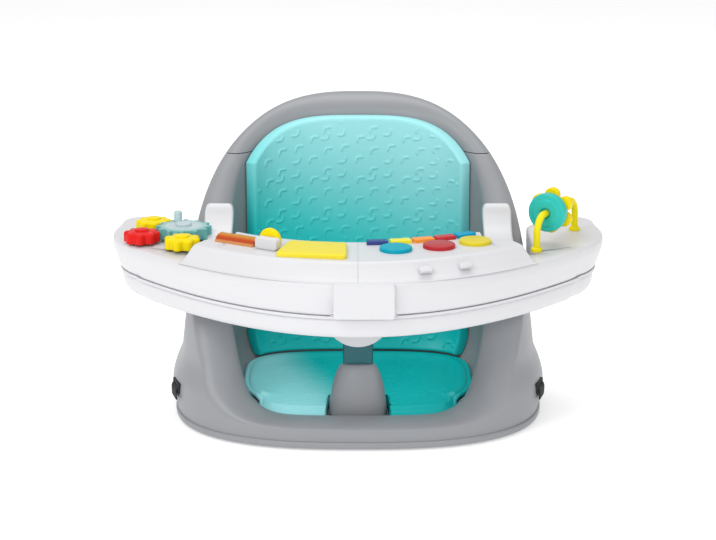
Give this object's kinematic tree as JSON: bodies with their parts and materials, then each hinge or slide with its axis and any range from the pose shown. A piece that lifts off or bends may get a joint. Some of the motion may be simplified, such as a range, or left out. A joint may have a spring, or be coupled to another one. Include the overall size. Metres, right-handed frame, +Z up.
{
  "type": "baby floor seat",
  "caption": "Low tub seat for a sitting baby, with foam pads, a crotch post and a sliding tray that carries turning, sliding and pressing toys.",
  "frame": {"origin": "on the floor, below the middle of the whole object's box", "axes": "+Z up, -Y the way the child faces and the tray slides, +X to the right seen from the front"},
  "size_m": [0.56, 0.4047, 0.336],
  "materials": {
    "grey_shell": "satin moulded polypropylene",
    "white_tray": "glossy moulded ABS",
    "teal_foam": "soft moulded foam with an embossed pattern",
    "dark_teal": "satin moulded plastic",
    "black_rubber": "matt",
    "black_webbing": "woven",
    "steel": "bright",
    "yellow": "glossy moulded plastic",
    "red": "glossy moulded plastic",
    "blue": "glossy moulded plastic",
    "navy": "glossy moulded plastic",
    "orange": "glossy moulded plastic",
    "teal_toy": "glossy moulded plastic",
    "clear_teal": "clear tinted plastic",
    "amber": "clear tinted plastic",
    "board_green": "solder mask",
    "silicone": "matt",
    "dark_part": "matt"
  },
  "bodies": {
    "seat": {"seat_shell": "grey_shell", "backrest_shell": "grey_shell", "base_plate": "grey_shell", "foot_pads": "black_rubber", "base_screws": "steel", "crotch_post": "grey_shell", "post_neck": "dark_teal", "seat_pad": "teal_foam", "back_pad": "teal_foam", "strap_guides": "black_rubber", "chair_strap": "black_webbing"},
    "tray": {"snack_tray": "white_tray", "tray_front_tab": "white_tray", "tray_clip_left": "white_tray", "tray_clip_right": "white_tray", "toy_tray_case": "white_tray", "toy_tray_bottom": "white_tray", "case_screws": "steel", "left_panel": "white_tray", "right_panel": "white_tray", "latch_pin": "steel", "gear_posts": "steel", "roller_axle": "steel", "roller_bracket": "white_tray", "clicker_hub": "white_tray", "bead_arch": "yellow", "circuit_board": "board_green", "contact_domes": "silicone", "speaker": "dark_part", "batteries": "dark_part", "battery_contacts": "steel", "battery_door": "white_tray"},
    "latch": {"front_latch": "white_tray"},
    "drive_gear": {"drive_gear": "clear_teal"},
    "left_flower": {"flower_gear_left": "red"},
    "back_flower": {"flower_gear_back": "yellow"},
    "front_flower": {"flower_gear_front": "yellow"},
    "roller": {"roller_drum": "amber"},
    "ring": {"clicker_ring": "yellow"},
    "disc": {"bead_disc": "teal_toy"},
    "petals": {"bead_flower": "yellow"},
    "light_key": {"light_key": "yellow"},
    "key_1": {"piano_key_1": "navy"},
    "key_2": {"piano_key_2": "yellow"},
    "key_3": {"piano_key_3": "orange"},
    "key_4": {"piano_key_4": "red"},
    "key_5": {"piano_key_5": "blue"},
    "blue_button": {"button_blue": "blue"},
    "red_button": {"button_red": "red"},
    "yellow_button": {"button_yellow": "yellow"},
    "volume_knob": {"volume_switch": "white_tray"},
    "mode_knob": {"mode_switch": "white_tray"}
  },
  "joints": [
    {"name": "tray_slide", "type": "slide", "parent": "seat", "child": "tray", "axis": [0, -1, 0], "range_m": [0, 0.05]},
    {"name": "latch_flip", "type": "hinge", "parent": "tray", "child": "latch", "pos_m": [0.0065, -0.199, 0.167], "axis": [1, 0, 0], "range_deg": [0, 60]},
    {"name": "drive_spin", "type": "hinge", "parent": "tray", "child": "drive_gear", "pos_m": [-0.196, 0, 0.204], "axis": [0, 0, 1], "continuous": true},
    {"name": "left_flower_spin", "type": "hinge", "parent": "tray", "child": "left_flower", "pos_m": [-0.24094, -0.02192, 0.204], "axis": [0, 0, 1], "continuous": true},
    {"name": "back_flower_spin", "type": "hinge", "parent": "tray", "child": "back_flower", "pos_m": [-0.23316, 0.03346, 0.204], "axis": [0, 0, 1], "continuous": true},
    {"name": "front_flower_spin", "type": "hinge", "parent": "tray", "child": "front_flower", "pos_m": [-0.19338, -0.04993, 0.204], "axis": [0, 0, 1], "continuous": true},
    {"name": "roller_spin", "type": "hinge", "parent": "tray", "child": "roller", "pos_m": [-0.1285, -0.085, 0.2125], "axis": [0.848, -0.5299, 0], "continuous": true},
    {"name": "ring_spin", "type": "hinge", "parent": "tray", "child": "ring", "pos_m": [-0.09373, -0.10673, 0.224], "axis": [-0.5299, -0.848, 0], "continuous": true},
    {"name": "disc_spin", "type": "hinge", "parent": "tray", "child": "disc", "pos_m": [0.196, -0.058, 0.237], "axis": [0.4687, 0.8833, 0], "continuous": true},
    {"name": "petals_spin", "type": "hinge", "parent": "tray", "child": "petals", "pos_m": [0.196, -0.058, 0.237], "axis": [0.4687, 0.8833, 0], "continuous": true},
    {"name": "light_key_press", "type": "slide", "parent": "tray", "child": "light_key", "axis": [0, 0, -1], "range_m": [0, 0.0025], "stiffness_N_per_m": 900, "springref_m": -0.001},
    {"name": "key_1_press", "type": "slide", "parent": "tray", "child": "key_1", "axis": [0, 0, -1], "range_m": [0, 0.0025], "stiffness_N_per_m": 500, "springref_m": -0.001},
    {"name": "key_2_press", "type": "slide", "parent": "tray", "child": "key_2", "axis": [0, 0, -1], "range_m": [0, 0.0025], "stiffness_N_per_m": 500, "springref_m": -0.001},
    {"name": "key_3_press", "type": "slide", "parent": "tray", "child": "key_3", "axis": [0, 0, -1], "range_m": [0, 0.0025], "stiffness_N_per_m": 500, "springref_m": -0.001},
    {"name": "key_4_press", "type": "slide", "parent": "tray", "child": "key_4", "axis": [0, 0, -1], "range_m": [0, 0.0025], "stiffness_N_per_m": 500, "springref_m": -0.001},
    {"name": "key_5_press", "type": "slide", "parent": "tray", "child": "key_5", "axis": [0, 0, -1], "range_m": [0, 0.0025], "stiffness_N_per_m": 500, "springref_m": -0.001},
    {"name": "blue_button_press", "type": "slide", "parent": "tray", "child": "blue_button", "axis": [0, 0, -1], "range_m": [0, 0.0025], "stiffness_N_per_m": 600, "springref_m": -0.001},
    {"name": "red_button_press", "type": "slide", "parent": "tray", "child": "red_button", "axis": [0, 0, -1], "range_m": [0, 0.0025], "stiffness_N_per_m": 600, "springref_m": -0.001},
    {"name": "yellow_button_press", "type": "slide", "parent": "tray", "child": "yellow_button", "axis": [0, 0, -1], "range_m": [0, 0.0025], "stiffness_N_per_m": 600, "springref_m": -0.001},
    {"name": "volume_slide", "type": "slide", "parent": "tray", "child": "volume_knob", "axis": [0.9499, 0.3125, 0], "range_m": [-0.005, 0.005]},
    {"name": "mode_slide", "type": "slide", "parent": "tray", "child": "mode_knob", "axis": [0.8849, 0.4658, 0], "range_m": [-0.005, 0.005]}
  ],
  "couplings": [
    {"joint": "left_flower_spin", "follows": "drive_spin", "ratio": -1.5},
    {"joint": "back_flower_spin", "follows": "drive_spin", "ratio": -1.5},
    {"joint": "front_flower_spin", "follows": "drive_spin", "ratio": -1.5}
  ]
}
